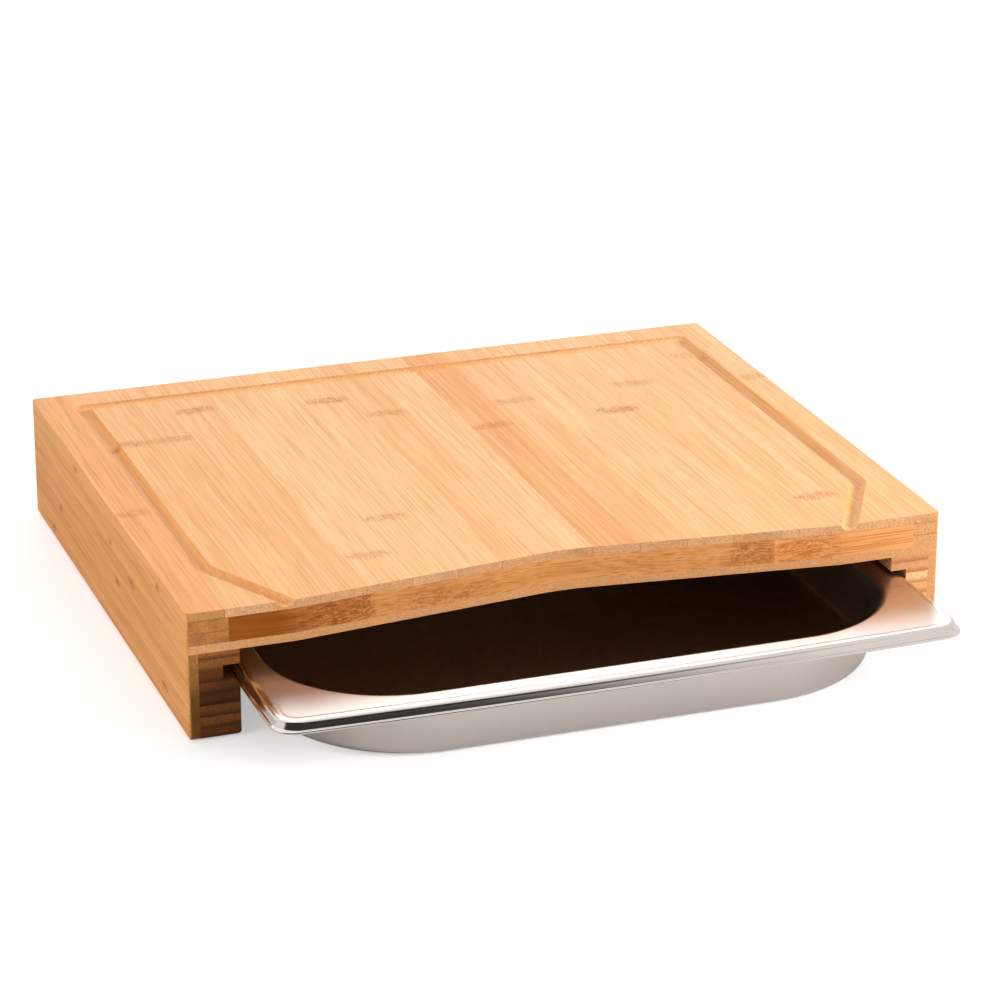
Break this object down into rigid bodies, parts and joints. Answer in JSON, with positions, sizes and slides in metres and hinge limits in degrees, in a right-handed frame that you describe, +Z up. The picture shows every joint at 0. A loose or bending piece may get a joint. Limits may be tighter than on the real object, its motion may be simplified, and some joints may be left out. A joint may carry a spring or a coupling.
{
  "type": "cutting board with drawer tray",
  "caption": "Bamboo cutting board on two cheeks, with a juice groove, a notched front edge and a pressed steel tray that slides out from under it.",
  "frame": {"origin": "on the table, under the middle of the board with its tray as it stands pulled out", "axes": "+Z up, +Y to the back, +X to the right; the tray slides out along -Y"},
  "size_m": [0.363, 0.3654, 0.0612],
  "materials": {
    "bamboo_top": "oiled satin",
    "bamboo_core": "oiled satin",
    "bamboo_lipping": "oiled satin",
    "bamboo_cheek": "oiled satin",
    "stainless_steel": "bright pressed"
  },
  "bodies": {
    "board": {"top_strip_01": "bamboo_top", "top_strip_02": "bamboo_top", "top_strip_03": "bamboo_top", "top_strip_04": "bamboo_top", "top_strip_05": "bamboo_top", "top_strip_06": "bamboo_top", "top_strip_07": "bamboo_top", "top_strip_08": "bamboo_top", "top_strip_09": "bamboo_top", "top_strip_10": "bamboo_top", "top_strip_11": "bamboo_top", "top_strip_12": "bamboo_top", "top_strip_13": "bamboo_top", "top_strip_14": "bamboo_top", "top_strip_15": "bamboo_top", "top_strip_16": "bamboo_top", "top_strip_17": "bamboo_top", "core_front_strip_left": "bamboo_core", "core_front_strip_right": "bamboo_core", "core_notched_strip": "bamboo_core", "core_panel": "bamboo_core", "left_lipping_lower": "bamboo_lipping", "left_lipping_upper": "bamboo_lipping", "right_lipping_lower": "bamboo_lipping", "right_lipping_upper": "bamboo_lipping", "bottom_layer": "bamboo_core", "left_cheek_slat": "bamboo_cheek", "right_cheek_slat": "bamboo_cheek", "left_cheek_lamella_1": "bamboo_cheek", "left_cheek_lamella_2": "bamboo_cheek", "left_cheek_lamella_3": "bamboo_cheek", "left_cheek_lamella_4": "bamboo_cheek", "left_cheek_lamella_5": "bamboo_cheek", "left_cheek_lamella_6": "bamboo_cheek", "left_cheek_lamella_7": "bamboo_cheek", "left_cheek_lamella_8": "bamboo_cheek", "right_cheek_lamella_1": "bamboo_cheek", "right_cheek_lamella_2": "bamboo_cheek", "right_cheek_lamella_3": "bamboo_cheek", "right_cheek_lamella_4": "bamboo_cheek", "right_cheek_lamella_5": "bamboo_cheek", "right_cheek_lamella_6": "bamboo_cheek", "right_cheek_lamella_7": "bamboo_cheek", "right_cheek_lamella_8": "bamboo_cheek", "back_rail": "bamboo_cheek"},
    "tray": {"drawer_tray": "stainless_steel"}
  },
  "joints": [
    {"name": "tray_slide", "type": "slide", "parent": "board", "child": "tray", "axis": [0, -1, 0], "range_m": [-0.0759, 0.16]}
  ]
}
